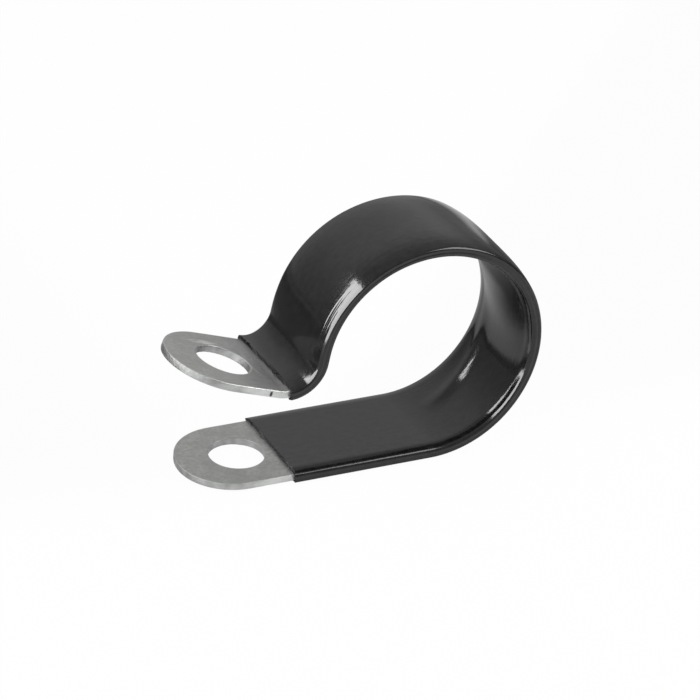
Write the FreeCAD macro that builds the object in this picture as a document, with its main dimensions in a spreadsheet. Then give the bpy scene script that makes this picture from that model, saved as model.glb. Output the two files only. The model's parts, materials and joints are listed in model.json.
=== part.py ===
"""P clip: a punched steel strip bent to a P, in a flat vinyl sleeve.

Frame: millimetres, +Z up. The origin is the centre of the lower ear's screw hole, at half the
strip's thickness. +X runs along the straight lower leg to the loop, and Y is across the strip.
"""
import FreeCAD, Part
import math
import os
import Sketcher

SIZES = [
    # The steel strip
    ("band_width", 12.7, "width of the strip"),
    ("band_thickness", 0.9, "thickness of the strip"),
    ("edge_break", 0.1, "bevel along the strip's sheared edges"),
    ("hole_diameter", 6.6, "screw hole in each ear"),
    ("hole_to_tip", 7.35, "hole centre to the round tip of its ear"),
    # The line that the strip is bent along, at half its thickness. Sweeps are in degrees.
    ("lower_reach", 21.85, "lower hole centre to the start of the loop"),
    ("heel_radius", 12.45, "start of the loop, beside the lower leg"),
    ("heel_sweep", 50.0, "turn of the heel"),
    ("side_radius", 13.2, "far side of the loop"),
    ("side_sweep", 50.0, "turn of the far side"),
    ("crown_radius", 14.15, "top of the loop"),
    ("crown_sweep", 100.0, "turn of the crown"),
    ("neck_radius", 12.95, "end of the loop, down to the neck"),
    ("neck_sweep", 61.4, "turn of the end of the loop"),
    ("neck_straight", 1.2, "flat between the loop and the reverse bend"),
    ("bend_radius", 3.9, "reverse bend from the neck to the upper ear"),
    ("bend_sweep", 99.7, "turn of the reverse bend"),
    ("upper_reach", 4.65, "reverse bend to the upper hole centre"),
    # The vinyl sleeve
    ("sleeve_wall", 0.4, "wall over the flat faces of the strip"),
    ("sleeve_side_wall", 0.45, "wall over the strip's edges"),
    ("sleeve_clearance", 0.05, "gap between the strip and the sleeve"),
    ("sleeve_corner", 0.45, "outer rounding of the sleeve's section"),
    ("sleeve_bare_length", 11.75, "tip of the lower ear to the sleeve's lower end"),
    ("sleeve_set_back", 16.0, "turn of the reverse bend left bare by the sleeve, in degrees"),
]

LOOP_ARCS = ("heel", "side", "crown", "neck")

# Corners of a box about the origin, in the order that they are drawn
QUADRANTS = ((1, 1), (-1, 1), (-1, -1), (1, -1))

# Ends of a shape in a sketch, and the sketch's own axes and origin, as constraints number them
START, END, CENTRE = 1, 2, 3
X_AXIS, Y_AXIS = -1, -2
ORIGIN = (-1, 1)

UP = FreeCAD.Vector(0, 0, 1)


def make_sheet(doc):
    """Spreadsheet of the driving dimensions, one alias for each."""
    sheet = doc.addObject("Spreadsheet::Sheet", "sizes")
    for row, (alias, value, note) in enumerate(SIZES, start=1):
        sheet.set(f"A{row}", alias)
        sheet.set(f"B{row}", str(value))
        sheet.set(f"C{row}", note)
        sheet.setAlias(f"B{row}", alias)
    doc.recompute()


def origin_plane(body, role):
    return next(plane for plane in body.Origin.OriginFeatures if plane.Role == role)


def sketch_on(body, name, support, element="", mode="FlatFace"):
    sketch = body.newObject("Sketcher::SketchObject", name)
    sketch.AttachmentSupport = [(support, element)]
    sketch.MapMode = mode
    return sketch


def bind(sketch, name, expression, kind, *where):
    """Add a named dimension to a sketch, tied to the sheet by an expression."""
    value = sketch.evalExpression(expression)
    if kind == "Angle":
        value = math.radians(value)
        expression = f"({expression}) * 1 deg"
    index = sketch.addConstraint(Sketcher.Constraint(kind, *where, value))
    sketch.renameConstraint(index, name)
    sketch.setExpression(f"Constraints.{name}", expression)


class Chain:
    """Draws straights and arcs one after another in a sketch, each tangent to the last."""

    def __init__(self, sketch, start):
        self.sketch = sketch
        self.point = FreeCAD.Vector(sketch.evalExpression(start), 0, 0)
        self.heading = 0.0
        self.last = None

    def direction(self, angle):
        return FreeCAD.Vector(math.cos(angle), math.sin(angle), 0)

    def join(self, shape, enter, leave):
        index = self.sketch.addGeometry(shape, False)
        if self.last:
            tangent = Sketcher.Constraint("Tangent", *self.last, index, enter)
            self.sketch.addConstraint(tangent)
        self.last = (index, leave)
        return index

    def straight(self, name, length):
        start = self.point
        self.point = start + self.direction(self.heading) * self.sketch.evalExpression(length)
        line = self.join(Part.LineSegment(start, self.point), START, END)
        bind(self.sketch, name, length, "Distance", line)
        return line

    def arc(self, name, radius, sweep, side=1):
        """side is 1 for a turn to the left and -1 for one to the right."""
        size = self.sketch.evalExpression(radius)
        first = self.heading - side * math.pi / 2
        last = first + side * math.radians(self.sketch.evalExpression(sweep))
        centre = self.point - self.direction(first) * size
        self.point = centre + self.direction(last) * size
        self.heading += last - first
        shape = Part.ArcOfCircle(Part.Circle(centre, UP, size), min(first, last), max(first, last))
        enter, leave = (START, END) if side == 1 else (END, START)
        arc = self.join(shape, enter, leave)
        bind(self.sketch, f"{name}_radius", radius, "Radius", arc)
        bind(self.sketch, f"{name}_sweep", sweep, "Angle", arc)
        return arc


def draw_strip_line(body, name, start, lead=None, set_back="0"):
    """The line that the strip is bent along, from the lower leg to the reverse bend.

    start is its place on the X axis, lead the stretch of lower leg before the loop, and
    set_back the part of the reverse bend that is left off its end.
    """
    sketch = sketch_on(body, name, origin_plane(body, "XZ_Plane"))
    chain = Chain(sketch, start)
    leg = chain.straight("lead", lead) if lead else None
    arcs = [chain.arc(arc, f"sizes.{arc}_radius", f"sizes.{arc}_sweep") for arc in LOOP_ARCS]
    chain.straight("neck_straight", "sizes.neck_straight")
    bend = chain.arc("bend", "sizes.bend_radius", f"sizes.bend_sweep - {set_back}", side=-1)

    if lead:
        first = leg
        sketch.addConstraint(Sketcher.Constraint("Horizontal", leg))
    else:
        first = arcs[0]
        sketch.addConstraint(Sketcher.Constraint("Vertical", first, START, first, CENTRE))
    sketch.addConstraint(Sketcher.Constraint("PointOnObject", first, START, X_AXIS))
    bind(sketch, "start", start, "DistanceX", *ORIGIN, first, START)
    return sketch, bend


def draw_ear(sketch, reach):
    """Outline of an ear with its screw hole: x runs from the bent strip to the round tip."""
    tip_reach = f"{reach} + sizes.hole_to_tip - sizes.band_width / 2"
    half_width = sketch.evalExpression("sizes.band_width") / 2
    straight = sketch.evalExpression(tip_reach)
    base_left = FreeCAD.Vector(0, half_width, 0)
    base_right = FreeCAD.Vector(0, -half_width, 0)
    along = FreeCAD.Vector(straight, 0, 0)
    tip_circle = Part.Circle(along, UP, half_width)
    hole_centre = FreeCAD.Vector(sketch.evalExpression(reach), 0, 0)
    hole_circle = Part.Circle(hole_centre, UP, sketch.evalExpression("sizes.hole_diameter") / 2)

    base = sketch.addGeometry(Part.LineSegment(base_left, base_right), False)
    right = sketch.addGeometry(Part.LineSegment(base_right, base_right + along), False)
    tip = sketch.addGeometry(Part.ArcOfCircle(tip_circle, -math.pi / 2, math.pi / 2), False)
    left = sketch.addGeometry(Part.LineSegment(base_left + along, base_left), False)
    hole = sketch.addGeometry(hole_circle, False)
    sketch.addConstraint([
        Sketcher.Constraint("Coincident", base, END, right, START),
        Sketcher.Constraint("Coincident", left, END, base, START),
        Sketcher.Constraint("Tangent", right, END, tip, START),
        Sketcher.Constraint("Tangent", tip, END, left, START),
        Sketcher.Constraint("Horizontal", right),
        Sketcher.Constraint("Horizontal", left),
        Sketcher.Constraint("PointOnObject", base, START, Y_AXIS),
        Sketcher.Constraint("Symmetric", base, START, base, END, X_AXIS),
        Sketcher.Constraint("PointOnObject", hole, CENTRE, X_AXIS),
    ])
    bind(sketch, "band_width", "sizes.band_width", "DistanceY", base, END, base, START)
    bind(sketch, "tip_reach", tip_reach, "DistanceX", *ORIGIN, tip, CENTRE)
    bind(sketch, "hole_reach", reach, "DistanceX", *ORIGIN, hole, CENTRE)
    bind(sketch, "hole_diameter", "sizes.hole_diameter", "Diameter", hole)


def draw_box(sketch, name, width, height):
    """A sharp-cornered box about the sketch's origin."""
    half_width = sketch.evalExpression(width) / 2
    half_height = sketch.evalExpression(height) / 2
    corners = [FreeCAD.Vector(x * half_width, y * half_height, 0) for x, y in QUADRANTS]
    lines = [
        sketch.addGeometry(Part.LineSegment(corners[index], corners[(index + 1) % 4]), False)
        for index in range(4)
    ]
    for index, line in enumerate(lines):
        following = lines[(index + 1) % 4]
        sketch.addConstraint(Sketcher.Constraint("Coincident", line, END, following, START))
        sketch.addConstraint(Sketcher.Constraint(("Horizontal", "Vertical")[index % 2], line))
    top, left, bottom, _ = lines
    sketch.addConstraint(Sketcher.Constraint("Symmetric", top, START, bottom, START, *ORIGIN))
    bind(sketch, f"{name}_width", width, "DistanceX", top, END, top, START)
    bind(sketch, f"{name}_height", height, "DistanceY", left, END, left, START)


def draw_rounded_box(sketch, name, width, height, corner):
    """A box about the sketch's origin with its corners rounded."""
    radius = sketch.evalExpression(corner)
    flat_width = f"{width} - 2 * {corner}"
    flat_height = f"{height} - 2 * {corner}"
    half_width = sketch.evalExpression(flat_width) / 2
    half_height = sketch.evalExpression(flat_height) / 2
    arcs = []
    for index, (x, y) in enumerate(QUADRANTS):
        circle = Part.Circle(FreeCAD.Vector(x * half_width, y * half_height, 0), UP, radius)
        first = index * math.pi / 2
        arcs.append(sketch.addGeometry(Part.ArcOfCircle(circle, first, first + math.pi / 2), False))
    for index, arc in enumerate(arcs):
        following = arcs[(index + 1) % 4]
        ends = [sketch.getPoint(arc, END), sketch.getPoint(following, START)]
        line = sketch.addGeometry(Part.LineSegment(*ends), False)
        sketch.addConstraint([
            Sketcher.Constraint("Tangent", arc, END, line, START),
            Sketcher.Constraint("Tangent", line, END, following, START),
            Sketcher.Constraint(("Horizontal", "Vertical")[index % 2], line),
        ])
        if index:
            sketch.addConstraint(Sketcher.Constraint("Equal", arcs[0], arc))
    right_top, left_top, left_bottom, _ = arcs
    middle = Sketcher.Constraint("Symmetric", right_top, CENTRE, left_bottom, CENTRE, *ORIGIN)
    sketch.addConstraint(middle)
    bind(sketch, f"{name}_corner", corner, "Radius", right_top)
    bind(sketch, f"{name}_width", flat_width, "DistanceX", left_top, CENTRE, right_top, CENTRE)
    bind(sketch, f"{name}_height", flat_height, "DistanceY", left_bottom, CENTRE, left_top, CENTRE)


def section_sketch(body, name, place):
    """Empty sketch square to the lower leg, at the given place along it."""
    sketch = sketch_on(body, name, origin_plane(body, "YZ_Plane"))
    along = FreeCAD.Vector(0, 0, sketch.evalExpression(place))
    sketch.AttachmentOffset = FreeCAD.Placement(along, FreeCAD.Rotation())
    sketch.setExpression("AttachmentOffset.Base.z", place)
    return sketch


def sweep(body, name, profile, line):
    pipe = body.newObject("PartDesign::AdditivePipe", name)
    pipe.Profile = profile
    pipe.Spine = (line, [])
    pipe.Mode = "Standard"


def pad_ear(body, name, outline):
    pad = body.newObject("PartDesign::Pad", name)
    pad.Profile = outline
    pad.SideType = "Symmetric"
    pad.setExpression("Length", "sizes.band_thickness")
    return pad


def is_broad(face):
    """True for the strip's flat and bent faces, False for its sheared sides and hole walls."""
    is_flat = isinstance(face.Surface, Part.Plane)
    axis_across = abs(face.Surface.Axis.y) > 0.5
    return axis_across != is_flat


def sheared_edges(shape):
    """Names of the edges round the strip's outline, where a broad face meets a sheared side."""
    broad_rims = [edge for face in shape.Faces if is_broad(face) for edge in face.OuterWire.Edges]
    return [
        f"Edge{number}"
        for number, edge in enumerate(shape.Edges, start=1)
        if sum(edge.isSame(rim) for rim in broad_rims) == 1
    ]


def make_steel_band(doc):
    """The bent strip: loop and reverse bend swept, with a flat punched ear at each end."""
    body = doc.addObject("PartDesign::Body", "steel_band")
    line, bend = draw_strip_line(body, "band_line", start="sizes.lower_reach")
    section = section_sketch(body, "band_section", "sizes.lower_reach")
    draw_box(section, "band", "sizes.band_width", "sizes.band_thickness")
    doc.recompute()
    sweep(body, "band_loop", section, line)

    # An ear's sketch starts where the bent strip ends, turned so that x runs to the tip
    turned = FreeCAD.Placement(FreeCAD.Vector(), FreeCAD.Rotation(UP, 180))
    lower = sketch_on(body, "lower_ear_outline", origin_plane(body, "XY_Plane"))
    lower.AttachmentOffset = turned
    lower.setExpression("AttachmentOffset.Base.x", "sizes.lower_reach")
    draw_ear(lower, "sizes.lower_reach")
    pad_ear(body, "lower_ear", lower)

    upper = sketch_on(body, "upper_ear_outline", line, f"Edge{bend + 1}", "FrenetTB")
    upper.AttachmentOffset = turned
    draw_ear(upper, "sizes.upper_reach")
    blank = pad_ear(body, "upper_ear", upper)
    doc.recompute()

    bevel = body.newObject("PartDesign::Chamfer", "sheared_edges")
    bevel.Base = (blank, sheared_edges(blank.Shape))
    bevel.setExpression("Size", "sizes.edge_break")
    return body


def make_vinyl_sleeve(doc):
    """The flat tube over the strip, swept along the same line from ear to ear."""
    body = doc.addObject("PartDesign::Body", "vinyl_sleeve")
    lower_end = "(sizes.sleeve_bare_length - sizes.hole_to_tip)"
    line, _ = draw_strip_line(
        body, "sleeve_line", start=lower_end, lead=f"sizes.lower_reach - {lower_end}",
        set_back="sizes.sleeve_set_back")

    bore_width = "sizes.band_width + 2 * sizes.sleeve_clearance"
    bore_height = "sizes.band_thickness + 2 * sizes.sleeve_clearance"
    section = section_sketch(body, "sleeve_section", lower_end)
    draw_box(section, "bore", bore_width, bore_height)
    draw_rounded_box(section, "outside", f"{bore_width} + 2 * sizes.sleeve_side_wall",
                     f"{bore_height} + 2 * sizes.sleeve_wall", "sizes.sleeve_corner")
    doc.recompute()
    sweep(body, "sleeve_tube", section, line)
    return body


def check(doc, bodies):
    """Stop if a feature failed or a finished piece isn't one sound solid."""
    for item in doc.Objects:
        faults = {"Invalid", "Error"} & set(item.State)
        if faults:
            raise RuntimeError(f"{item.Name}: {', '.join(sorted(faults))}")
    for body in bodies:
        shape = body.Shape
        if shape.isNull() or not shape.isValid() or len(shape.Solids) != 1:
            raise RuntimeError(f"{body.Label} is not one valid solid")
        print(f"{body.Label}: {shape.Volume:.2f} mm3")


def main():
    doc = FreeCAD.newDocument("p_clip")
    make_sheet(doc)
    bodies = [make_steel_band(doc), make_vinyl_sleeve(doc)]
    doc.recompute()
    check(doc, bodies)
    os.makedirs("parts", exist_ok=True)
    for body in bodies:
        body.Shape.exportStep(f"parts/{body.Label}.step")


main()
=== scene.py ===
"""P clip: a zinc plated steel strip bent to a P, in a black vinyl sleeve.

Both pieces are made flat, in strip coordinates: x along the strip from the lower screw hole, y
across it and z through its thickness, towards the inside of the loop. They are then bent along
the line that the real strip is bent along. All lengths are in metres.
"""
import json
import math

import bmesh
import bpy
from bpy.props import FloatProperty, FloatVectorProperty, PointerProperty
from mathutils import Matrix, Vector, noise


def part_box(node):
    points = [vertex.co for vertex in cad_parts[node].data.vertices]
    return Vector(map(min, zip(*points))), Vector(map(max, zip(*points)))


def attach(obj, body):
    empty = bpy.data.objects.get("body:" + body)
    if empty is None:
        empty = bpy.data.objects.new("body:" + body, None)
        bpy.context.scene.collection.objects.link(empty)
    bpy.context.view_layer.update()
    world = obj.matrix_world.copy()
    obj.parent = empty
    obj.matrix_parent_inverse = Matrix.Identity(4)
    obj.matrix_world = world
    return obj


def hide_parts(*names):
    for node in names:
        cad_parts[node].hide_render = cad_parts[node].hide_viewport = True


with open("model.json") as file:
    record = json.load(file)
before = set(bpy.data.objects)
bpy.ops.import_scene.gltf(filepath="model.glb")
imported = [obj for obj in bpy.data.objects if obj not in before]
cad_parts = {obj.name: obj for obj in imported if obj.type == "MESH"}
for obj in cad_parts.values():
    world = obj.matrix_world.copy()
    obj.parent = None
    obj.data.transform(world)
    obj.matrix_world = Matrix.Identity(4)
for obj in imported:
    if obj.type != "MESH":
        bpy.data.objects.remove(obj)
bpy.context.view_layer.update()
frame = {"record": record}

bl_info = {
    "name": "P Clip",
    "version": (1, 0, 0),
    "blender": (4, 5, 0),
    "location": "View3D > Sidebar > P Clip",
    "description": "Models a steel P clip in its vinyl sleeve, on a studio stage",
    "category": "Add Mesh",
}

MM = 0.001
MICRON = 0.001 * MM
HOLES = {mount["name"]: mount for mount in frame["record"]["mounts"]}
HOLE_RADIUS = HOLES["lower_ear_hole"]["dims"]["r_mm"] * MM
THICKNESS = HOLES["lower_ear_hole"]["dims"]["length_mm"] * MM
BAND_LOW, BAND_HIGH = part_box("steel_band")
SLEEVE_LOW, SLEEVE_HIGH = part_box("vinyl_sleeve")
FLOOR_HEIGHT = SLEEVE_LOW.z

# Unbent place of every point, kept on both meshes for the materials
STRIP_PLACE = "strip_place"
VINYL_IOR = 1.5


def length(name, default_mm, description):
    return FloatProperty(
        name=name, description=description, default=default_mm * MM,
        subtype="DISTANCE", unit="LENGTH", precision=5)


def angle(name, default_degrees, description):
    return FloatProperty(
        name=name, description=description, default=math.radians(default_degrees),
        subtype="ANGLE", unit="ROTATION")


def color(name, default, description):
    return FloatVectorProperty(
        name=name, description=description, default=default, size=3,
        subtype="COLOR", min=0.0, max=1.0)


class ClipLine(bpy.types.PropertyGroup):
    """The line that the strip is bent along, at half its thickness."""

    lower_reach: length("Lower Leg", 21.85, "Lower hole centre to the start of the loop")
    heel_radius: length("Heel Radius", 12.45, "Start of the loop, beside the lower leg")
    heel_sweep: angle("Heel Turn", 50.0, "Turn of the heel")
    side_radius: length("Side Radius", 13.2, "Far side of the loop")
    side_sweep: angle("Side Turn", 50.0, "Turn of the far side")
    crown_radius: length("Crown Radius", 14.15, "Top of the loop")
    crown_sweep: angle("Crown Turn", 100.0, "Turn of the crown")
    neck_radius: length("Neck Radius", 12.95, "End of the loop, down to the neck")
    neck_sweep: angle("Neck Turn", 61.4, "Turn of the end of the loop")
    neck_straight: length("Neck Flat", 1.2, "Flat between the loop and the reverse bend")
    bend_radius: length("Bend Radius", 3.9, "Reverse bend from the neck to the upper ear")
    bend_sweep: angle("Bend Turn", 99.7, "Turn of the reverse bend")
    upper_reach: length("Upper Ear", 4.65, "Reverse bend to the upper hole centre")


class ClipBand(bpy.types.PropertyGroup):
    """Sizes and colours of the steel strip."""

    width: length("Width", (BAND_HIGH.y - BAND_LOW.y) / MM, "Width of the strip")
    thickness: length("Thickness", THICKNESS / MM, "Thickness of the strip")
    hole_radius: length("Hole Radius", HOLE_RADIUS / MM, "Radius of the screw holes")
    hole_to_tip: length("Hole to Tip", 7.35, "Hole centre to the round tip of its ear")
    roll: length("Rolled Edge", 0.16, "Rounding on the side that the punch enters")
    burr: length("Burr Edge", 0.07, "Rounding on the side that the punch leaves")
    steel_color: color("Zinc", (0.57, 0.58, 0.565), "Colour of the zinc plating")
    edge_color: color("Sheared Steel", (0.62, 0.63, 0.62), "Colour of the punched edges")


class ClipSleeve(bpy.types.PropertyGroup):
    """Sizes and colours of the vinyl sleeve."""

    half_width: length("Half Width", SLEEVE_HIGH.y / MM, "Middle of the sleeve to its side")
    half_height: length("Half Height", -SLEEVE_LOW.z / MM, "Middle of the sleeve to its face")
    clearance: length("Clearance", 0.05, "Gap between the strip and the sleeve")
    bare_length: length("Bare Ear", 11.75, "Tip of the lower ear to the sleeve")
    set_back: angle("Bare Bend", 16.0, "Turn of the reverse bend left bare by the sleeve")
    outer_crown: length("Outer Crown", 0.29, "Height that the outer face loses to its corners")
    inner_crown: length("Inner Crown", 0.14, "Height that the inner face loses to its corners")
    inner_flat: length("Inner Flat", 5.5, "Half the width of the flat middle of the inner face")
    swell: length("Swell", 0.80, "Height that the inner face bulges by along the loop")
    corner: length("Corner", 0.50, "Width of the rounded corners")
    side_land: length("Side Land", 0.25, "Half the height of the nearly flat sides")
    side_groove: length("Side Groove", 0.05, "Depth of the groove along the sides")
    lower_slant: FloatProperty(
        name="Lower Slant", description="Lean of the lower cut across the strip", default=-0.024)
    upper_slant: FloatProperty(
        name="Upper Slant", description="Lean of the upper cut across the strip", default=0.055)
    ragged: length("Ragged Cut", 0.28, "Unevenness of the cut ends")
    vinyl_color: color("Vinyl", (0.008, 0.008, 0.0085), "Colour of the vinyl")


class ClipStudio(bpy.types.PropertyGroup):
    """Camera and stage."""

    azimuth: angle("Azimuth", -27.654, "Direction of the camera round the clip")
    elevation: angle("Elevation", 29.63, "Height of the camera over the clip")
    roll: angle("Roll", 4.881, "Lean of the camera")
    distance: length("Distance", 406.06, "Aim to the camera")
    aim: FloatVectorProperty(
        name="Aim", description="Point that the camera looks at", size=3,
        default=(0.014825, 0.002308, 0.010318), subtype="XYZ", unit="LENGTH")
    lens: FloatProperty(
        name="Lens", description="Focal length in millimetres", default=179.5, unit="CAMERA")
    floor_size: length("Floor", 3000.0, "Side of the floor")
    floor_color: color("Floor Colour", (0.76, 0.76, 0.76), "Colour of the floor")


class StripLine:
    """Walks the bent line: each stretch is a length and the angle that it turns to the left."""

    def __init__(self, sizes):
        self.starts = []
        self.bend_radius = sizes.bend_radius
        self.point = Vector((0.0, 0.0, 0.0))
        self.heading = 0.0
        self.end = 0.0
        self.stretch(sizes.lower_reach, 0.0)
        for arc in ("heel", "side", "crown", "neck"):
            radius, sweep = getattr(sizes, f"{arc}_radius"), getattr(sizes, f"{arc}_sweep")
            self.stretch(radius * sweep, sweep)
        self.stretch(sizes.neck_straight, 0.0)
        self.stretch(sizes.bend_radius * sizes.bend_sweep, -sizes.bend_sweep)
        self.bend_end = self.end
        self.upper_hole = self.end + sizes.upper_reach
        self.stretch(2 * sizes.lower_reach, 0.0)

    def stretch(self, size, turn):
        """Adds a straight or an arc to the end of the line."""
        self.starts.append((self.end, size, turn, self.point.copy(), self.heading))
        self.point, self.heading = self.along(self.starts[-1], size)
        self.end += size

    def along(self, start, reach):
        """Point and heading at some way along one stretch."""
        _, size, turn, point, heading = start
        if not turn:
            step = Vector((math.cos(heading), 0.0, math.sin(heading))) * reach
            return point + step, heading
        radius = size / turn
        final = heading + turn * reach / size
        step = Vector((math.sin(final) - math.sin(heading), 0.0,
                       math.cos(heading) - math.cos(final))) * radius
        return point + step, final

    def place(self, flat):
        """Where a point of the flat strip lies once the strip is bent."""
        start = self.starts[0]
        for candidate in self.starts:
            if flat.x >= candidate[0]:
                start = candidate
        point, heading = self.along(start, flat.x - start[0])
        inwards = Vector((-math.sin(heading), 0.0, math.cos(heading)))
        return point + inwards * flat.z + Vector((0.0, flat.y, 0.0))

    def stations(self, first, last, turn_step, length_step):
        """Places along the line between two of them, closer where it bends."""
        places = [first]
        for begin, size, turn, _, _ in self.starts:
            low, high = max(begin, first), min(begin + size, last)
            if high <= low:
                continue
            share = (high - low) / size
            count = max(1, math.ceil(abs(turn) * share / turn_step),
                        math.ceil((high - low) / length_step))
            places += [low + (high - low) * step / count for step in range(1, count + 1)]
        return places


def edges_of(verts):
    """The edges at some points, each one once and in the order of the points."""
    return list(dict.fromkeys(edge for vert in verts for edge in vert.link_edges))


def bend_piece(bm, line):
    """Bends a flat piece along the line, and keeps the unbent place of every point."""
    layer = bm.verts.layers.float_vector.new(STRIP_PLACE)
    for vert in bm.verts:
        vert[layer] = vert.co
        vert.co = line.place(vert.co)


def finish_piece(bm, name, materials, node):
    """Makes an object of the mesh, in place of its CAD node and fixed to the root body."""
    mesh = bpy.data.meshes.new(name)
    bm.to_mesh(mesh)
    bm.free()
    mesh.validate()
    for material in materials:
        mesh.materials.append(material)
    piece = bpy.data.objects.new(name, mesh)
    bpy.context.scene.collection.objects.link(piece)
    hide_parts(node)
    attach(piece, "root")
    return piece


# Materials

def new_group(name, inputs, outputs):
    """Shader node group with float or vector sockets, given as name, type and default."""
    group = bpy.data.node_groups.new(name, "ShaderNodeTree")
    for label, kind, default in inputs:
        socket = group.interface.new_socket(label, in_out="INPUT", socket_type=kind)
        if default is not None:
            socket.default_value = default
    for label, kind in outputs:
        group.interface.new_socket(label, in_out="OUTPUT", socket_type=kind)
    enter = group.nodes.new("NodeGroupInput")
    leave = group.nodes.new("NodeGroupOutput")
    return group, enter, leave


def feed(tree, socket, value):
    """Gives an input another node's output, or a plain value."""
    if isinstance(value, bpy.types.NodeSocket):
        tree.links.new(value, socket)
    else:
        socket.default_value = value


def math_node(tree, operation, first, second, clamp=False):
    node = tree.nodes.new("ShaderNodeMath")
    node.operation = operation
    node.use_clamp = clamp
    feed(tree, node.inputs[0], first)
    feed(tree, node.inputs[1], second)
    return node.outputs[0]


def times(tree, first, second):
    return math_node(tree, "MULTIPLY", first, second, clamp=True)


def one_minus(tree, value):
    return math_node(tree, "SUBTRACT", 1.0, value)


def split_vector(tree, vector):
    """The X, Y and Z outputs of a vector."""
    split = tree.nodes.new("ShaderNodeSeparateXYZ")
    tree.links.new(vector, split.inputs[0])
    return split.outputs


def vector_length(tree, vector):
    measure = tree.nodes.new("ShaderNodeVectorMath")
    measure.operation = "LENGTH"
    tree.links.new(vector, measure.inputs[0])
    return measure.outputs["Value"]


def unbent_place(tree):
    """Where the point that is being shaded lies on the flat strip."""
    place = tree.nodes.new("ShaderNodeAttribute")
    place.attribute_name = STRIP_PLACE
    return place.outputs["Vector"]


def strip_grain_group():
    """Noise in strip coordinates: Size is its grain in metres and Stretch draws it out along x."""
    tree, enter, leave = new_group(
        "strip_grain",
        [("Size", "NodeSocketFloat", 0.001), ("Stretch", "NodeSocketFloat", 1.0),
         ("Detail", "NodeSocketFloat", 2.0), ("Low", "NodeSocketFloat", 0.35),
         ("High", "NodeSocketFloat", 0.65)],
        [("Value", "NodeSocketFloat")])
    place = split_vector(tree, unbent_place(tree))
    drawn_x = math_node(tree, "DIVIDE", place["X"], enter.outputs["Stretch"])
    join = tree.nodes.new("ShaderNodeCombineXYZ")
    texture = tree.nodes.new("ShaderNodeTexNoise")
    spread = tree.nodes.new("ShaderNodeMapRange")
    for value, socket in (
            (drawn_x, join.inputs["X"]),
            (place["Y"], join.inputs["Y"]),
            (place["Z"], join.inputs["Z"]),
            (join.outputs[0], texture.inputs["Vector"]),
            (math_node(tree, "DIVIDE", 1.0, enter.outputs["Size"]), texture.inputs["Scale"]),
            (enter.outputs["Detail"], texture.inputs["Detail"]),
            (texture.outputs["Fac"], spread.inputs["Value"]),
            (enter.outputs["Low"], spread.inputs["From Min"]),
            (enter.outputs["High"], spread.inputs["From Max"]),
            (spread.outputs["Result"], leave.inputs["Value"])):
        tree.links.new(value, socket)
    return tree


def use_group(tree, group, **values):
    """Places a group in a material, with its own values."""
    node = tree.nodes.new("ShaderNodeGroup")
    node.node_tree = group
    for label, value in values.items():
        node.inputs[label].default_value = value
    return node.outputs[0]


def mix_colors(tree, factor, first, second):
    mix = tree.nodes.new("ShaderNodeMix")
    mix.data_type = "RGBA"
    tree.links.new(factor, mix.inputs["Factor"])
    for socket, value in ((mix.inputs["A"], first), (mix.inputs["B"], second)):
        is_socket = isinstance(value, bpy.types.NodeSocket)
        feed(tree, socket, value if is_socket else (*value, 1.0))
    return mix.outputs["Result"]


def spread_value(tree, value, low, high):
    """Maps 0 to 1 onto low to high."""
    spread = tree.nodes.new("ShaderNodeMapRange")
    tree.links.new(value, spread.inputs["Value"])
    spread.inputs["To Min"].default_value = low
    spread.inputs["To Max"].default_value = high
    return spread.outputs["Result"]


def eased(tree, value, low, high):
    """Smooth rise from 0 at low to 1 at high, which may also be the lower of the two."""
    rise = tree.nodes.new("ShaderNodeMapRange")
    rise.interpolation_type = "SMOOTHSTEP"
    rise.inputs["From Min"].default_value = low
    rise.inputs["From Max"].default_value = high
    tree.links.new(value, rise.inputs["Value"])
    return rise.outputs["Result"]


def strip_spot_group():
    """1 round a place of the strip, fading to 0 at Reach from it along each axis."""
    tree, enter, leave = new_group(
        "strip_spot",
        [("Place", "NodeSocketVector", None), ("Reach", "NodeSocketVector", None),
         ("Core", "NodeSocketFloat", 0.4)],
        [("Value", "NodeSocketFloat")])
    offset = unbent_place(tree)
    for operation, other in (("SUBTRACT", "Place"), ("DIVIDE", "Reach")):
        step = tree.nodes.new("ShaderNodeVectorMath")
        step.operation = operation
        tree.links.new(offset, step.inputs[0])
        tree.links.new(enter.outputs[other], step.inputs[1])
        offset = step.outputs["Vector"]
    fade = tree.nodes.new("ShaderNodeMapRange")
    tree.links.new(vector_length(tree, offset), fade.inputs["Value"])
    tree.links.new(enter.outputs["Core"], fade.inputs["From Min"])
    fade.inputs["To Min"].default_value = 1.0
    fade.inputs["To Max"].default_value = 0.0
    tree.links.new(fade.outputs["Result"], leave.inputs["Value"])
    return tree


def shared_group(name, make):
    """The group of that name, made when it is first asked for."""
    return bpy.data.node_groups.get(name) or make()


def strip_spot(tree, x, y, z, reach, core=0.4):
    """Mask of a spot, placed and sized in millimetres of the unbent strip."""
    return use_group(tree, shared_group("strip_spot", strip_spot_group),
                     Place=[value * MM for value in (x, y, z)],
                     Reach=[value * MM for value in reach], Core=core)


def tinted(tree, tone, mask, share, tint):
    """Mixes a share of a tint into a tone, where the mask is 1."""
    return mix_colors(tree, spread_value(tree, mask, 0.0, share), tone, tint)


def add_bump(tree, shader, heights):
    """Chains bumps onto a shader: each is a height value and its depth in metres."""
    normal = None
    for height, depth in heights:
        bump = tree.nodes.new("ShaderNodeBump")
        bump.inputs["Distance"].default_value = depth
        tree.links.new(height, bump.inputs["Height"])
        if normal:
            tree.links.new(normal, bump.inputs["Normal"])
        normal = bump.outputs["Normal"]
    tree.links.new(normal, shader.inputs["Normal"])


def new_material(name):
    material = bpy.data.materials.new(name)
    material.use_nodes = True
    tree = material.node_tree
    return material, tree, tree.nodes["Principled BSDF"]


def scaled(value, factor):
    return tuple(channel * factor for channel in value)


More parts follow.
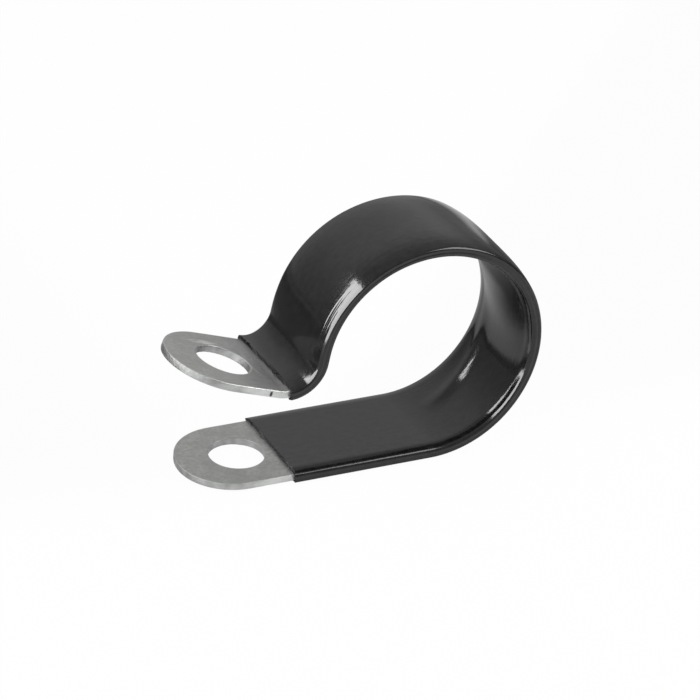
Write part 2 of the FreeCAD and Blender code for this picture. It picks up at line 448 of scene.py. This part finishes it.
def zinc_material(grain, base):
    """Satin zinc plating on the rolled faces of the strip."""
    material, tree, shader = new_material("zinc_steel")
    shader.inputs["Metallic"].default_value = 1.0
    rolled = use_group(tree, grain, Size=0.35 * MM, Stretch=6.0, Detail=3.0)
    cloud = use_group(tree, grain, Size=2.2 * MM, Stretch=1.3, Detail=4.0, Low=0.3, High=0.7)
    spangle = use_group(tree, grain, Size=0.32 * MM, Stretch=1.2, Detail=3.0, Low=0.3, High=0.7)
    scuff = times(tree, strip_spot(tree, 96.5, 3.9, -0.45, (2.2, 0.55, 0.3), 0.2), rolled)
    tone = mix_colors(tree, cloud, scaled(base, 0.84), scaled(base, 1.06))
    tone = tinted(tree, tone, rolled, 0.35, scaled(base, 0.78))
    tone = tinted(tree, tone, spangle, 0.70, scaled(base, 0.72))
    tone = tinted(tree, tone, scuff, 1.6, scaled(base, 1.7))
    tree.links.new(tone, shader.inputs["Base Color"])
    tree.links.new(spread_value(tree, spangle, 0.46, 0.58), shader.inputs["Roughness"])
    add_bump(tree, shader, [(spangle, 5 * MICRON), (rolled, 3 * MICRON), (scuff, 20 * MICRON)])
    return material


def sheared_material(grain, base):
    """Punched edges: torn through the thickness, and brighter along the straight sides."""
    material, tree, shader = new_material("sheared_steel")
    shader.inputs["Metallic"].default_value = 1.0
    torn = use_group(tree, grain, Size=0.30 * MM, Stretch=1.0, Detail=3.0)
    cloud = use_group(tree, grain, Size=1.2 * MM, Stretch=1.0, Detail=3.0, Low=0.3, High=0.7)
    sides = strip_spot(tree, 47.72, -6.35, 0.0, (48.75, 0.5, 2.0), 0.97)
    nick_with_painted_shade = strip_spot(tree, 91.9, -6.35, 0.05, (0.22, 0.3, 0.42), 0.5)
    tone = mix_colors(tree, cloud, scaled(base, 0.62), base)
    tone = tinted(tree, tone, sides, 0.6, scaled(base, 1.35))
    # Painted shade: the nick's dent is painted almost black.
    tone = tinted(tree, tone, nick_with_painted_shade, 1.0, scaled(base, 0.12))
    tree.links.new(tone, shader.inputs["Base Color"])
    tree.links.new(spread_value(tree, torn, 0.36, 0.55), shader.inputs["Roughness"])
    add_bump(tree, shader, [(torn, 12 * MICRON), (nick_with_painted_shade, -80 * MICRON)])
    return material


def vinyl_material(grain, base):
    """Soft black vinyl with a semi-gloss skin, a faint mottle and some drawn ripples."""
    material, tree, shader = new_material("black_vinyl")
    shader.inputs["IOR"].default_value = VINYL_IOR
    mottle = use_group(tree, grain, Size=0.6 * MM, Stretch=1.2, Detail=3.0)
    cloud = use_group(tree, grain, Size=3.5 * MM, Stretch=2.5, Detail=2.0, Low=0.3, High=0.7)
    drawn = use_group(tree, grain, Size=0.45 * MM, Stretch=14.0, Detail=1.0)
    ripples = times(tree, drawn, strip_spot(tree, 79.0, -5.6, -0.8, (5.5, 1.1, 1.0)))
    tone = mix_colors(tree, mottle, scaled(base, 0.7), scaled(base, 1.5))
    tree.links.new(tone, shader.inputs["Base Color"])
    tree.links.new(spread_value(tree, cloud, 0.10, 0.14), shader.inputs["Roughness"])
    add_bump(tree, shader, [(mottle, 3.5 * MICRON), (drawn, 2.5 * MICRON), (ripples, 22 * MICRON)])
    return material


def cut_vinyl_material(grain, base):
    """The cut ends of the sleeve, matt and a little torn."""
    material, tree, shader = new_material("cut_vinyl")
    shader.inputs["IOR"].default_value = VINYL_IOR
    shader.inputs["Specular IOR Level"].default_value = 0.2
    torn = use_group(tree, grain, Size=0.25 * MM, Stretch=1.0, Detail=3.0)
    tree.links.new(mix_colors(tree, torn, base, scaled(base, 1.6)), shader.inputs["Base Color"])
    tree.links.new(spread_value(tree, torn, 0.6, 0.8), shader.inputs["Roughness"])
    add_bump(tree, shader, [(torn, 12 * MICRON)])
    return material


# The steel strip

def rounded_ear(bm, band, base, hole, side):
    """Flat ear from a base edge, with its hole and a round tip on the side of x that is given."""
    half_width = band.width / 2
    tip_centre = Vector((hole + side * (band.hole_to_tip - half_width), 0.0, 0.0))
    corner = bm.verts.new((tip_centre.x, -half_width, 0.0))
    arc = bmesh.ops.spin(
        bm, geom=[corner], cent=tip_centre, axis=(0, 0, side), angle=math.pi, steps=40)
    final = arc["geom_last"][0]
    base_low = bm.verts.new((base, -half_width, 0.0))
    base_high = bm.verts.new((base, half_width, 0.0))
    for first, second in ((base_low, corner), (final, base_high), (base_high, base_low)):
        bm.edges.new((first, second))
    outline = [edge for edge in bm.edges if edge.is_wire]
    rim = bmesh.ops.create_circle(
        bm, segments=64, radius=band.hole_radius, matrix=Matrix.Translation((hole, 0, 0)))
    bmesh.ops.triangle_fill(bm, use_beauty=True, edges=outline + edges_of(rim["verts"]))


def make_flat_band(bm, line, band):
    """The flat blank: two ears joined by a stretch that has a row of edges at every station."""
    lower_base = line.starts[0][1] / 2
    upper_base = line.bend_end
    rounded_ear(bm, band, lower_base, 0.0, -1)
    rounded_ear(bm, band, upper_base, line.upper_hole, 1)

    places = line.stations(
        lower_base, upper_base, turn_step=math.radians(2.0), length_step=1.0 * MM)
    row = [bm.verts.new((lower_base, side * band.width / 2, 0.0)) for side in (-1, 1)]
    rung = bm.edges.new(row)
    for before, after in zip(places, places[1:]):
        grown = bmesh.ops.extrude_edge_only(bm, edges=[rung])["geom"]
        rung = next(item for item in grown if isinstance(item, bmesh.types.BMEdge))
        bmesh.ops.translate(bm, verts=list(rung.verts), vec=(after - before, 0, 0))
    bmesh.ops.remove_doubles(bm, verts=bm.verts, dist=MICRON)


def make_band_blank(line, band):
    """The blank with its thickness, rolled edges and punched walls."""
    bm = bmesh.new()
    make_flat_band(bm, line, band)
    bmesh.ops.recalc_face_normals(bm, faces=bm.faces)
    if bm.faces[0].normal.z > 0:
        bmesh.ops.reverse_faces(bm, faces=bm.faces)
    half = band.thickness / 2
    bmesh.ops.translate(bm, verts=bm.verts, vec=(0, 0, -half))
    grown = bmesh.ops.extrude_face_region(bm, geom=bm.faces[:], use_keep_orig=True)["geom"]
    top = [item for item in grown if isinstance(item, bmesh.types.BMVert)]
    bmesh.ops.translate(bm, verts=top, vec=(0, 0, band.thickness))
    bmesh.ops.recalc_face_normals(bm, faces=bm.faces)
    for face in bm.faces:
        face.material_index = int(abs(face.normal.z) < 0.5)
    for height, size in ((-half, band.roll), (half, band.burr)):
        rims = [
            edge for edge in bm.edges
            if len({face.material_index for face in edge.link_faces}) == 2
            and all(abs(vert.co.z - height) < MICRON for vert in edge.verts)
        ]
        bmesh.ops.bevel(
            bm, geom=rims, offset=size, offset_type="OFFSET", affect="EDGES", segments=4,
            profile=0.5, material=-1, clamp_overlap=True, loop_slide=True)
    for face in bm.faces:
        face.smooth = True
    return bm


class CLIP_OT_steel_band(bpy.types.Operator):
    """Punch the steel strip with its two ears and bend it to a P"""

    bl_idname = "clip.steel_band"
    bl_label = "Steel Band"

    def execute(self, context):
        band = context.scene.clip_band
        line = StripLine(context.scene.clip_line)
        bm = make_band_blank(line, band)
        bend_piece(bm, line)
        grain = shared_group("strip_grain", strip_grain_group)
        materials = [zinc_material(grain, band.steel_color),
                     sheared_material(grain, band.edge_color)]
        piece = finish_piece(bm, "plated_steel_band", materials, "steel_band")
        weighted = piece.modifiers.new("face_weighted_normals", "WEIGHTED_NORMAL")
        weighted.weight = 100
        return {"FINISHED"}


# The vinyl sleeve

def outer_drop(sleeve, share):
    """Height that the outer face has lost at a share of the way to its corner."""
    return sleeve.outer_crown * share ** 4


def inner_drop(sleeve, share):
    """The inner face is flat, and falls away beside its corners."""
    flat = sleeve.inner_flat / (sleeve.half_width - sleeve.corner)
    return sleeve.inner_crown * max(0.0, (share - flat) / (1 - flat)) ** 2


def quarter_outline(sleeve, drop):
    """A quarter of the section, from the middle of a face to the middle of a side."""
    face_steps, corner_steps, side_steps = 18, 9, 4
    crowding = 0.75  # below 1, it brings the steps of the face closer towards its corner
    corner_start = sleeve.half_width - sleeve.corner
    points = []
    for step in range(face_steps):
        share = (step / face_steps) ** crowding
        points.append((corner_start * share, sleeve.half_height - drop(sleeve, share)))

    # The corner starts with the slope that the face ends with
    corner_height = sleeve.half_height - drop(sleeve, 1.0) - sleeve.side_land
    last_bit = 0.01
    fall = drop(sleeve, 1.0) - drop(sleeve, 1.0 - last_bit)
    first_turn = math.atan(fall / (last_bit * corner_start))
    for step in range(corner_steps):
        turn = first_turn + (math.pi / 2 - first_turn) * step / corner_steps
        across = (math.sin(turn) - math.sin(first_turn)) / (1 - math.sin(first_turn))
        points.append((corner_start + sleeve.corner * across,
                       sleeve.side_land + corner_height * math.cos(turn) / math.cos(first_turn)))

    for step in range(side_steps + 1):
        share = step / side_steps
        groove = sleeve.side_groove * math.sin(math.pi / 2 * share) ** 2
        points.append((sleeve.half_width - groove, sleeve.side_land * (1 - share)))
    return points


def sleeve_outline(sleeve):
    """Outer section of the sleeve, from the middle of its inner face and all the way round."""
    inner = quarter_outline(sleeve, inner_drop)
    outer = quarter_outline(sleeve, outer_drop)
    half = inner + [(y, -z) for y, z in reversed(outer[:-1])]
    return half + [(-y, z) for y, z in reversed(half[1:-1])]


def bore_outline(sleeve, band):
    """Inner section, close round the strip."""
    half_width = band.width / 2 + sleeve.clearance
    half_height = band.thickness / 2 + sleeve.clearance
    corners = [(half_width, half_height), (half_width, -half_height)]
    return [(0.0, half_height), *corners, (0.0, -half_height),
            *((-y, z) for y, z in reversed(corners))]


def extrude_tube(bm, outline, places):
    """Extrudes a closed outline through the places, and returns its first and last edges."""
    ring = bmesh.ops.create_circle(bm, segments=len(outline), radius=1.0)["verts"]
    for vert, (y, z) in zip(ring, outline):
        vert.co = (places[0], y, z)
    first = last = edges_of(ring)
    for before, after in zip(places, places[1:]):
        grown = bmesh.ops.extrude_edge_only(bm, edges=last)["geom"]
        last = [item for item in grown if isinstance(item, bmesh.types.BMEdge)]
        verts = [item for item in grown if isinstance(item, bmesh.types.BMVert)]
        bmesh.ops.translate(bm, verts=verts, vec=(after - before, 0, 0))
    return first, last


def make_flat_sleeve(line, sleeve, band):
    """The straight tube, open for the strip, with cut ends."""
    first = sleeve.bare_length - band.hole_to_tip
    last = line.bend_end - sleeve.set_back * line.bend_radius
    places = line.stations(first, last, turn_step=math.radians(1.5), length_step=0.6 * MM)
    bm = bmesh.new()
    outer = extrude_tube(bm, sleeve_outline(sleeve), places)
    bore = extrude_tube(bm, bore_outline(sleeve, band), places)
    for outer_end, bore_end in zip(outer, bore):
        wall = bmesh.ops.bridge_loops(bm, edges=outer_end + bore_end)["faces"]
        for face in wall:
            face.material_index = 1
        for edge in outer_end:
            edge.smooth = False
    bmesh.ops.recalc_face_normals(bm, faces=bm.faces)
    return bm, first, last


def ease(value, low, high):
    """0 below low, 1 above high, and a smooth rise between them."""
    share = min(1.0, max(0.0, (value - low) / (high - low)))
    return share * share * (3 - 2 * share)


def along_stretch(x, start, full, fading, end):
    """1 along the middle of a stretch, given in millimetres of the strip, and 0 outside it."""
    return ease(x, start * MM, full * MM) * (1 - ease(x, fading * MM, end * MM))


def swell_inner_face(bm, sleeve):
    """Bulges and creases the inner face where the loop crowds the vinyl together."""
    inner_face = 0.6 * sleeve.half_height
    swell_half_width = 5.2 * MM
    crease_height, crease_half_width = 0.18 * MM, 0.9 * MM
    crease_x, crease_y, crease_slant = 31 * MM, 2.5 * MM, 0.2
    for vert in bm.verts:
        x, y, z = vert.co
        if z < inner_face:
            continue
        off_crease = (y - crease_y - crease_slant * (x - crease_x)) / crease_half_width
        crease = along_stretch(x, 24, 29, 35, 43) * math.exp(-off_crease ** 2)
        swell = along_stretch(x, 36, 47, 60, 70) * max(0.0, 1 - (y / swell_half_width) ** 2)
        vert.co.z += crease_height * crease + sleeve.swell * swell


def tauten_bend(bm, sleeve):
    """Draws the outer face flatter where the vinyl is stretched round the small bend."""
    start, full = 80.5 * MM, 84 * MM
    flattening = 0.5
    for vert in bm.verts:
        x, y, z = vert.co
        taut = ease(x, start, full) * ease(-z / sleeve.half_height, 0.25, 0.75)
        drop = outer_drop(sleeve, min(1.0, abs(y) / sleeve.half_width))
        vert.co.z -= flattening * taut * drop


def shape_cut_ends(bm, first, last, sleeve):
    """Leans the two cuts and makes them a little ragged, with small lips at some corners."""
    slant_reach, lip_reach = 2.5 * MM, 1.6 * MM
    grain_across, grain_through = 0.42 * MM, 0.8 * MM
    width, height = sleeve.half_width, sleeve.half_height
    # Each lip is the place of a corner and how far it is drawn out
    lips = [
        ((last, width, -height), (0.45 * MM, 0.0, -0.22 * MM)),
        ((last, -width, 0.0), (0.30 * MM, 0.0, 0.0)),
        ((first, width, height), (-0.35 * MM, 0.0, 0.0)),
        ((first, -width, 0.0), (-0.10 * MM, 0.0, 0.0)),
    ]
    # Each cut is its place, its lean and the seed of its raggedness
    cuts = [(first, sleeve.lower_slant, 3.0), (last, sleeve.upper_slant, 11.0)]
    for vert in bm.verts:
        flat = vert.co.copy()
        for place, push in lips:
            away = (flat - Vector(place)).length / lip_reach
            vert.co += Vector(push) * max(0.0, 1.0 - away) ** 2
        for end, slant, seed in cuts:
            off_cut = abs(flat.x - end)
            if off_cut >= slant_reach:
                continue
            vert.co.x += (1.0 - off_cut / slant_reach) * slant * flat.y
            if off_cut < MICRON:
                grain = Vector((flat.y / grain_across, flat.z / grain_through, seed))
                vert.co.x += sleeve.ragged * noise.noise(grain)


class CLIP_OT_vinyl_sleeve(bpy.types.Operator):
    """Draw the vinyl sleeve over the strip and bend it with it"""

    bl_idname = "clip.vinyl_sleeve"
    bl_label = "Vinyl Sleeve"

    def execute(self, context):
        sleeve, band = context.scene.clip_sleeve, context.scene.clip_band
        line = StripLine(context.scene.clip_line)
        bm, first, last = make_flat_sleeve(line, sleeve, band)
        swell_inner_face(bm, sleeve)
        tauten_bend(bm, sleeve)
        shape_cut_ends(bm, first, last, sleeve)
        bend_piece(bm, line)
        for face in bm.faces:
            face.smooth = face.material_index == 0
        grain = shared_group("strip_grain", strip_grain_group)
        materials = [vinyl_material(grain, sleeve.vinyl_color),
                     cut_vinyl_material(grain, sleeve.vinyl_color)]
        finish_piece(bm, "soft_vinyl_sleeve", materials, "vinyl_sleeve")
        return {"FINISHED"}


# The stage

def view_axes(azimuth, elevation, roll=0.0):
    """Right, up and backward directions of a camera that looks at the clip."""
    right = Vector((math.cos(azimuth), math.sin(azimuth), 0.0))
    back = Vector((math.sin(azimuth) * math.cos(elevation),
                   -math.cos(azimuth) * math.cos(elevation), math.sin(elevation)))
    up = back.cross(right)
    turn = Matrix.Rotation(roll, 3, back)
    return turn @ right, turn @ up, back


def facing(axes, place):
    """Matrix of an object at a place whose own axes are the ones given."""
    matrix = Matrix(axes).transposed().to_4x4()
    matrix.translation = place
    return matrix


def add_lamp(name, place, away, size, radiance):
    """Soft box at a place, that faces away from an azimuth and elevation given in degrees."""
    width, height = size
    data = bpy.data.lights.new(name, "AREA")
    data.shape = "RECTANGLE"
    data.size, data.size_y = width, height
    data.energy = radiance * math.pi * width * height
    lamp = bpy.data.objects.new(name, data)
    lamp.matrix_world = facing(view_axes(*map(math.radians, away)), place)
    bpy.context.scene.collection.objects.link(lamp)
    lamp.visible_camera = False
    return lamp


def background_rays(tree):
    """Masks of the rays that show the background: straight, and mirrored or through glass."""
    path = tree.nodes.new("ShaderNodeLightPath")
    other = math_node(tree, "ADD", path.outputs["Is Glossy Ray"],
                      path.outputs["Is Transmission Ray"], clamp=True)
    return path.outputs["Is Camera Ray"], other


def painted_light_pool(tree):
    """Painted light and shade on the floor: 1 round the clip, less far off, and 0 in the two
    painted shaded corners behind it.
    """
    place = tree.nodes.new("ShaderNodeTexCoord").outputs["Object"]
    away = vector_length(tree, place)
    x, y, _ = split_vector(tree, place)
    # All of these are metres from the lower hole, which is the floor's own middle
    near = eased(tree, away, 0.60, 0.15)
    right = eased(tree, math_node(tree, "SUBTRACT", x, y), 0.003, 0.015)
    left = times(tree, eased(tree, x, 0.006, -0.016), eased(tree, away, 0.50, 0.18))
    behind = eased(tree, y, -0.010, 0.010)
    shaded = times(tree, math_node(tree, "MAXIMUM", left, right), behind)
    lit = times(tree, near, one_minus(tree, shaded))
    far_level = 0.25
    return math_node(tree, "ADD", lit, times(tree, one_minus(tree, near), far_level))


def mix_shaders(tree, factor, first, second):
    mix = tree.nodes.new("ShaderNodeMixShader")
    tree.links.new(factor, mix.inputs["Fac"])
    tree.links.new(first, mix.inputs[1])
    tree.links.new(second, mix.inputs[2])
    return mix.outputs[0]


def floor_material(base):
    """Pale floor, shown white where nothing shades it, and seen through from underneath."""
    material, tree, shader = new_material("pale_floor")
    shader.inputs["Roughness"].default_value = 0.9
    shader.inputs["Specular IOR Level"].default_value = 0.0
    # Painted shade and a painted pool of light: the floor's colour falls to a fifth far off and in
    # the two corners behind the clip, and its glow in reflections follows the same painted pool.
    painted_pool = painted_light_pool(tree)
    tree.links.new(mix_colors(tree, painted_pool, scaled(base, 0.2), base), shader.inputs["Base Color"])
    straight, other = background_rays(tree)
    glow = tree.nodes.new("ShaderNodeEmission")
    mirrored = times(tree, other, times(tree, painted_pool, 0.3))
    share = math_node(tree, "ADD", times(tree, straight, 0.975), mirrored)
    whitened = mix_shaders(tree, share, shader.outputs[0], glow.outputs[0])
    side = tree.nodes.new("ShaderNodeNewGeometry")
    below = times(tree, straight, side.outputs["Backfacing"])
    clear = tree.nodes.new("ShaderNodeBsdfTransparent")
    tree.links.new(mix_shaders(tree, below, whitened, clear.outputs[0]),
                   tree.nodes["Material Output"].inputs["Surface"])
    return material


def make_world(low, rise, back, gap_depth):
    """Studio walls: a level that rises upwards, a paler wall behind and a dim gap on the right."""
    world = bpy.data.worlds.new("studio")
    world.use_nodes = True
    tree = world.node_tree
    direction = tree.nodes.new("ShaderNodeTexCoord").outputs["Generated"]
    x, y, z = split_vector(tree, direction)
    # x, y and z are those of a direction of length 1, seen from the clip
    behind = times(tree, eased(tree, x, -0.75, -0.20), eased(tree, y, 0.58, 0.80))
    walls = math_node(tree, "ADD", times(tree, behind, back), times(tree, z, rise))
    gap = times(tree, eased(tree, x, 0.42, 0.66), eased(tree, z, 0.42, 0.10))
    level = times(tree, math_node(tree, "ADD", walls, low),
                  one_minus(tree, times(tree, gap, gap_depth)))
    tree.links.new(level, tree.nodes["Background"].inputs["Color"])
    bpy.context.scene.world = world


def add_floor(size, base):
    bm = bmesh.new()
    bmesh.ops.create_grid(bm, x_segments=1, y_segments=1, size=size / 2)
    bmesh.ops.translate(bm, verts=bm.verts, vec=(0, 0, FLOOR_HEIGHT))
    mesh = bpy.data.meshes.new("floor")
    bm.to_mesh(mesh)
    bm.free()
    mesh.materials.append(floor_material(base))
    floor = bpy.data.objects.new("floor", mesh)
    bpy.context.scene.collection.objects.link(floor)


def add_lamps(aim):
    """Two soft boxes, and a third beside the left one that only shines in the sleeve's gloss."""
    left_place = aim + Vector((-0.200, -0.0275, 0.056))
    left_away, left_size = (-90.0, 56.5), (0.285, 0.24)
    add_lamp("left_softbox", left_place, left_away, left_size, radiance=1.5)
    glare_place = left_place + Vector((0.004, 0.0, -0.006))
    glare = add_lamp("left_glare", glare_place, left_away, left_size, radiance=10.5)
    glare.visible_diffuse = False
    sleeve_only = bpy.data.collections.new("sleeve_only")
    sleeve_only.objects.link(bpy.data.objects["soft_vinyl_sleeve"])
    glare.light_linking.receiver_collection = sleeve_only

    right_away, right_distance = (62.0, 42.0), 0.25
    right_place = aim + view_axes(*map(math.radians, right_away))[2] * right_distance
    add_lamp("right_softbox", right_place, right_away, (0.16, 0.16), radiance=5.0)


def add_camera(studio, aim):
    data = bpy.data.cameras.new("camera")
    data.lens = studio.lens
    camera = bpy.data.objects.new("camera", data)
    axes = view_axes(studio.azimuth, studio.elevation, studio.roll)
    camera.matrix_world = facing(axes, aim + axes[2] * studio.distance)
    bpy.context.scene.collection.objects.link(camera)
    bpy.context.scene.camera = camera


class CLIP_OT_stage(bpy.types.Operator):
    """Lay the floor and set up the lamps and the camera"""

    bl_idname = "clip.stage"
    bl_label = "Stage"

    def execute(self, context):
        studio = context.scene.clip_studio
        aim = Vector(studio.aim)
        add_floor(studio.floor_size, studio.floor_color)
        make_world(low=0.25, rise=0.25, back=0.36, gap_depth=0.5)
        add_lamps(aim)
        add_camera(studio, aim)
        context.scene.view_settings.view_transform = "Standard"
        return {"FINISHED"}


class CLIP_PT_panel(bpy.types.Panel):
    """The steps of the model and all their values, in the sidebar"""

    bl_idname = "CLIP_PT_panel"
    bl_label = "P Clip"
    bl_space_type = "VIEW_3D"
    bl_region_type = "UI"
    bl_category = "P Clip"

    def draw(self, context):
        for operator in OPERATORS:
            self.layout.operator(operator.bl_idname)
        for name in GROUPS:
            group = getattr(context.scene, name)
            box = self.layout.box()
            for prop in group.bl_rna.properties:
                if prop.identifier not in ("rna_type", "name"):
                    box.prop(group, prop.identifier)


OPERATORS = (CLIP_OT_steel_band, CLIP_OT_vinyl_sleeve, CLIP_OT_stage)
GROUPS = {
    "clip_line": ClipLine,
    "clip_band": ClipBand,
    "clip_sleeve": ClipSleeve,
    "clip_studio": ClipStudio,
}


def register():
    for item in (*GROUPS.values(), *OPERATORS, CLIP_PT_panel):
        bpy.utils.register_class(item)
    for name, group in GROUPS.items():
        setattr(bpy.types.Scene, name, PointerProperty(type=group))


def unregister():
    for name in GROUPS:
        delattr(bpy.types.Scene, name)
    for item in reversed((*GROUPS.values(), *OPERATORS, CLIP_PT_panel)):
        bpy.utils.unregister_class(item)


def main():
    register()
    bpy.ops.clip.steel_band()
    bpy.ops.clip.vinyl_sleeve()
    bpy.ops.clip.stage()


if __name__ == "__main__":
    main()
